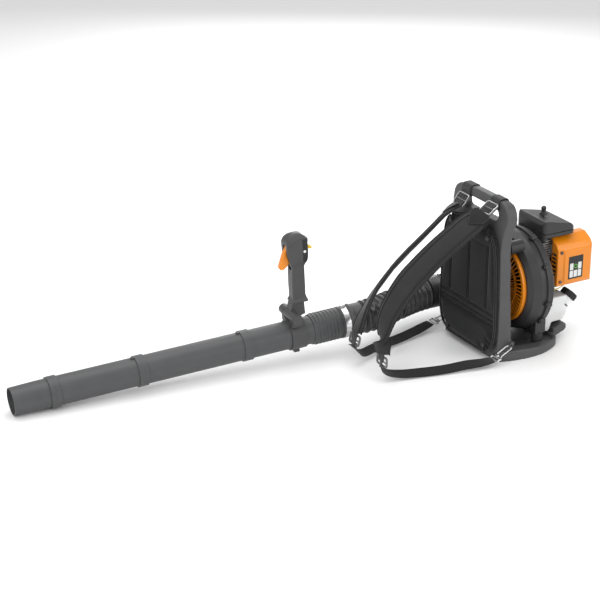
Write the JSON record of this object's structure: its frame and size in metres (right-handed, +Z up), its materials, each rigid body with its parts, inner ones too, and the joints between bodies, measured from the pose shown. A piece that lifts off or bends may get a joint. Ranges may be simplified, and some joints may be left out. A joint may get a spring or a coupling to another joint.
{
  "type": "backpack leaf blower",
  "caption": "Petrol backpack leaf blower: padded back frame, fan and engine on rubber mounts, ribbed hose, long straight blow tube and a tilting throttle handle.",
  "frame": {"origin": "on the standing face, on the mid-plane, 9 mm behind the frame's front", "axes": "+Z up; -Y the way the wearer faces and the tube points; +Y towards the engine; -X the side of the hose"},
  "size_m": [0.4261, 1.6438, 0.4624],
  "materials": {
    "dark_plastic": "fine grained moulded plastic",
    "frame_plastic": "blow moulded plastic",
    "orange_plastic": "satin moulded plastic",
    "yellow_plastic": "satin moulded plastic",
    "black_fabric": "woven polyester over foam",
    "webbing": "woven webbing",
    "rubber": "matt rubber",
    "hose_rubber": "soft ribbed plastic",
    "steel": "zinc plated steel",
    "alloy": "die cast aluminium",
    "tank_plastic": "translucent blow moulded plastic",
    "foam": "open cell foam",
    "label": "printed plastic sheet",
    "fuel_hose": "clear fuel hose"
  },
  "bodies": {
    "backpack": {"frame": "frame_plastic", "back_pad": "black_fabric", "pad_rivets": "rubber", "strap_left": "black_fabric", "strap_right": "black_fabric", "bar_loops": "webbing", "buckles": "dark_plastic", "lower_webbing": "webbing", "snap_hooks": "steel", "rubber_mounts": "rubber", "housing_front": "dark_plastic", "housing_rear": "dark_plastic", "intake_guard": "orange_plastic", "screws": "steel", "crankcase": "alloy", "cylinder": "alloy", "spark_plug": "steel", "plug_cap": "rubber", "ignition_coil": "rubber", "muffler": "steel", "carburettor": "alloy", "filter_base": "dark_plastic", "filter_element": "foam", "filter_cover": "dark_plastic", "engine_cover": "orange_plastic", "info_label": "label", "starter_housing": "dark_plastic", "fuel_tank": "tank_plastic", "tank_grommet": "rubber", "fuel_lines": "fuel_hose", "elbow": "dark_plastic", "rear_hose_clamp": "steel", "rear_bellows": "hose_rubber"},
    "hose_middle": {"hose_ring": "hose_rubber"},
    "hose_front": {"front_bellows": "hose_rubber", "front_cuff": "dark_plastic", "front_hose_clamp": "steel"},
    "blow_tube": {"upper_tube": "dark_plastic", "middle_tube": "dark_plastic", "lower_tube": "dark_plastic", "nozzle": "dark_plastic"},
    "handle_clamp": {"handle_clamp": "dark_plastic"},
    "clamp_knob": {"clamp_knob": "dark_plastic"},
    "handle": {"handle_bracket": "dark_plastic", "handle_left": "dark_plastic", "handle_right": "dark_plastic"},
    "throttle_trigger": {"throttle_trigger": "orange_plastic"},
    "cruise_lever": {"cruise_lever": "yellow_plastic"},
    "stop_switch": {"stop_switch": "dark_plastic"},
    "filter_knob": {"filter_knob": "rubber"},
    "fuel_cap": {"fuel_cap": "rubber"},
    "crank": {"crankshaft": "steel", "flywheel": "alloy", "impeller": "dark_plastic"},
    "piston_set": {"piston": "alloy", "connecting_rod": "steel"},
    "starter_pulley": {"starter_pulley": "alloy"},
    "primer_bulb": {"primer_bulb": "orange_plastic"},
    "gate_left": {"gate_left": "steel"},
    "gate_right": {"gate_right": "steel"}
  },
  "joints": [
    {"name": "hose_yaw", "type": "hinge", "parent": "backpack", "child": "hose_middle", "pos_m": [-0.16641, -0.16128, 0.09605], "axis": [0, 0, 1], "range_deg": [-40, 3], "deforming": ["rear_bellows"]},
    {"name": "hose_pitch", "type": "hinge", "parent": "hose_middle", "child": "hose_front", "pos_m": [-0.16641, -0.16128, 0.09605], "axis": [-0.9962, 0.0872, 0], "range_deg": [-20, 25], "deforming": ["front_bellows"]},
    {"name": "tube_swivel", "type": "hinge", "parent": "hose_front", "child": "blow_tube", "pos_m": [-0.142, -0.33, 0.0932], "axis": [-0.087, -0.9946, -0.0558], "range_deg": [-60, 60]},
    {"name": "handle_slide", "type": "slide", "parent": "blow_tube", "child": "handle_clamp", "axis": [-0.087, -0.9946, -0.0558], "range_m": [-0.012, 0.09]},
    {"name": "clamp_knob_turn", "type": "hinge", "parent": "handle_clamp", "child": "clamp_knob", "pos_m": [-0.11361, -0.51035, 0.14539], "axis": [0.9962, -0.0872, 0], "range_deg": [0, 360]},
    {"name": "handle_tilt", "type": "hinge", "parent": "handle_clamp", "child": "handle", "pos_m": [-0.15744, -0.50652, 0.14539], "axis": [0.9962, -0.0872, 0], "range_deg": [-10, 25]},
    {"name": "throttle_pull", "type": "hinge", "parent": "handle", "child": "throttle_trigger", "pos_m": [-0.15805, -0.51344, 0.34131], "axis": [0.9962, -0.0872, 0], "range_deg": [0, 18], "stiffness_Nm_per_rad": 0.25, "springref_deg": -5.73},
    {"name": "cruise_lever_set", "type": "hinge", "parent": "handle", "child": "cruise_lever", "pos_m": [-0.14895, -0.46679, 0.33794], "axis": [-0.9962, 0.0872, 0], "range_deg": [0, 28]},
    {"name": "stop_press", "type": "slide", "parent": "handle", "child": "stop_switch", "axis": [-0.087, -0.9946, -0.0558], "range_m": [0, 0.004], "stiffness_N_per_m": 400, "springref_m": -0.001},
    {"name": "filter_knob_turn", "type": "hinge", "parent": "backpack", "child": "filter_knob", "pos_m": [0, 0.224, 0.354], "axis": [0, 0, 1], "range_deg": [0, 720]},
    {"name": "fuel_cap_turn", "type": "hinge", "parent": "backpack", "child": "fuel_cap", "pos_m": [0.054, 0.281, 0.11], "axis": [0, 0.7071, 0.7071], "range_deg": [0, 360]},
    {"name": "crank_spin", "type": "hinge", "parent": "backpack", "child": "crank", "pos_m": [0, 0.224, 0.181], "axis": [0, 1, 0], "continuous": true},
    {"name": "piston_slide", "type": "slide", "parent": "backpack", "child": "piston_set", "axis": [0, 0, 1], "range_m": [0, 0.033]},
    {"name": "starter_pulley_spin", "type": "hinge", "parent": "backpack", "child": "starter_pulley", "pos_m": [0, 0.27, 0.181], "axis": [0, 1, 0], "range_deg": [0, 720], "stiffness_Nm_per_rad": 0.02, "springref_deg": -28.65},
    {"name": "primer_press", "type": "slide", "parent": "backpack", "child": "primer_bulb", "axis": [1, 0, 0], "range_m": [0, 0.003], "stiffness_N_per_m": 400, "springref_m": -0.001},
    {"name": "gate_left_open", "type": "hinge", "parent": "backpack", "child": "gate_left", "pos_m": [0.15304, -0.01155, 0.02837], "axis": [0.0223, -0.4219, 0.9064], "range_deg": [0, 20], "stiffness_Nm_per_rad": 0.05, "springref_deg": -5.73},
    {"name": "gate_right_open", "type": "hinge", "parent": "backpack", "child": "gate_right", "pos_m": [-0.13323, -0.02535, 0.0303], "axis": [-0.0109, -0.2674, 0.9635], "range_deg": [0, 20], "stiffness_Nm_per_rad": 0.05, "springref_deg": -5.73}
  ]
}
